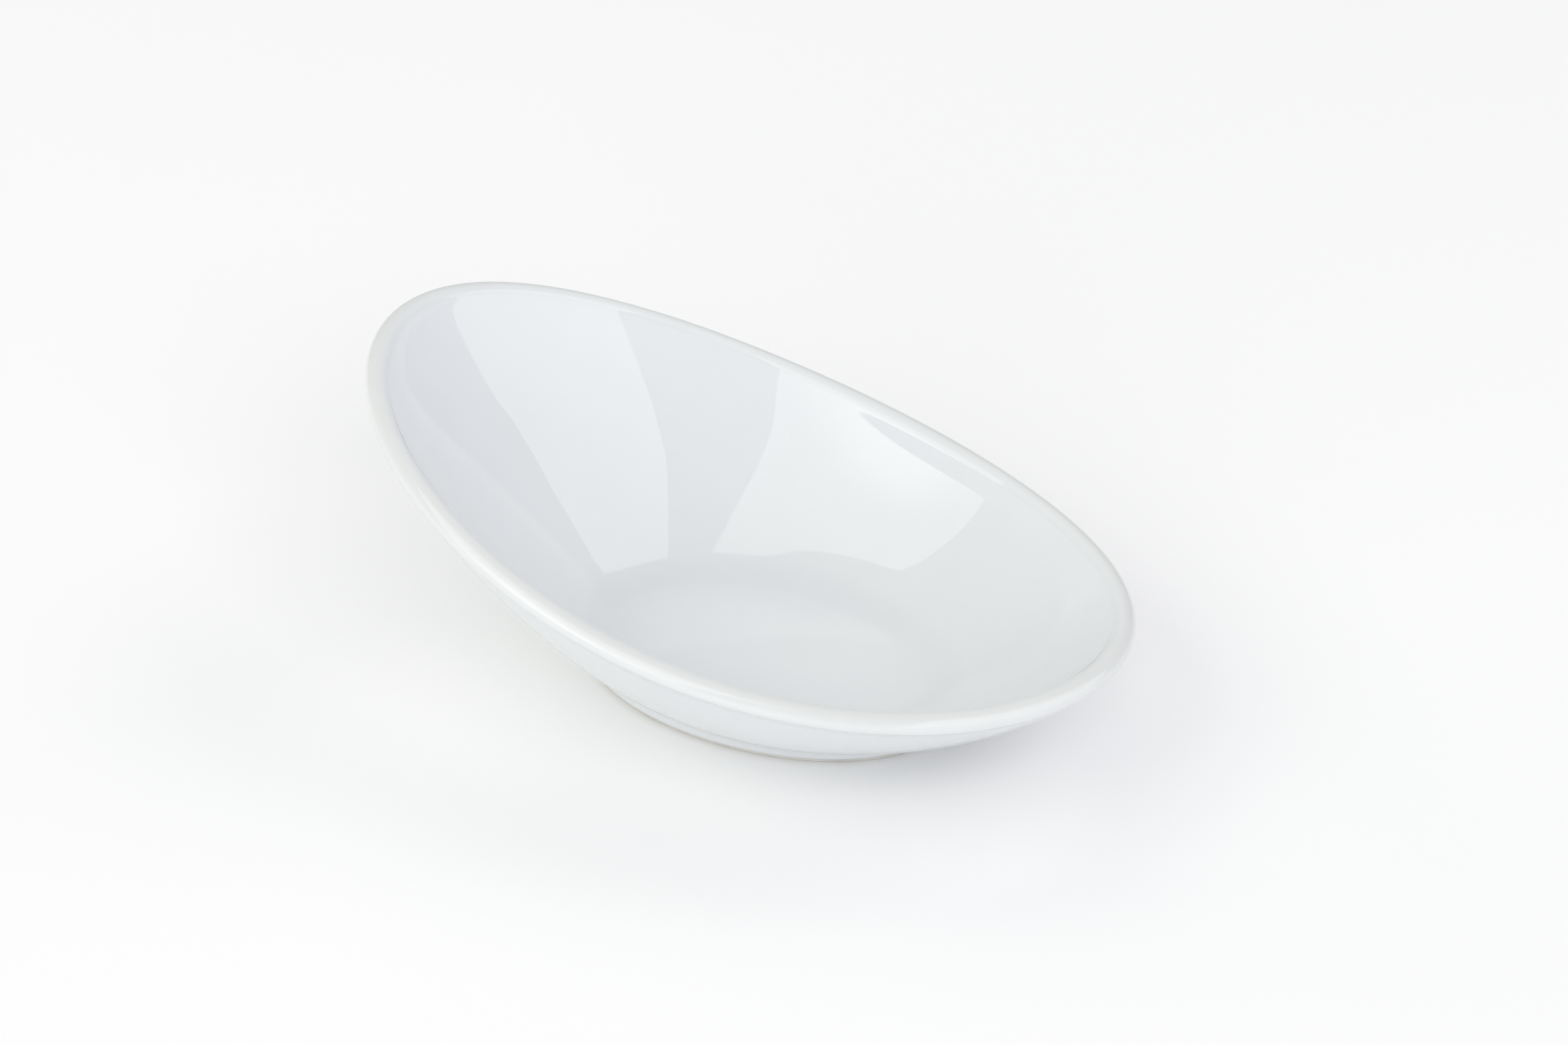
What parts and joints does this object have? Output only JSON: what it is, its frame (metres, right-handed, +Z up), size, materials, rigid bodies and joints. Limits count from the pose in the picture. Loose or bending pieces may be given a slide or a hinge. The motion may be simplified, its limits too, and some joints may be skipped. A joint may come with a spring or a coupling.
{
  "type": "slanted serving bowl",
  "caption": "Oval slanted serving bowl in white glazed porcelain, with a rolled lip that dips from a high end to a low end, and an oval foot ring.",
  "frame": {"origin": "on the floor, under the middle of the lip's overall length and width", "axes": "+Z up, +X towards the low end, Y across the bowl"},
  "size_m": [0.28, 0.18, 0.1155],
  "materials": {
    "porcelain": "fired, unglazed where it shows",
    "porcelain_foot": "bare, ground smooth on the standing face",
    "glaze": "clear glossy glaze over white",
    "recess_glaze": "clear glossy glaze over white"
  },
  "bodies": {
    "root": {"porcelain_body": "porcelain", "foot_ring": "porcelain_foot", "glaze_coat": "glaze", "recess_glaze": "recess_glaze"}
  },
  "joints": []
}
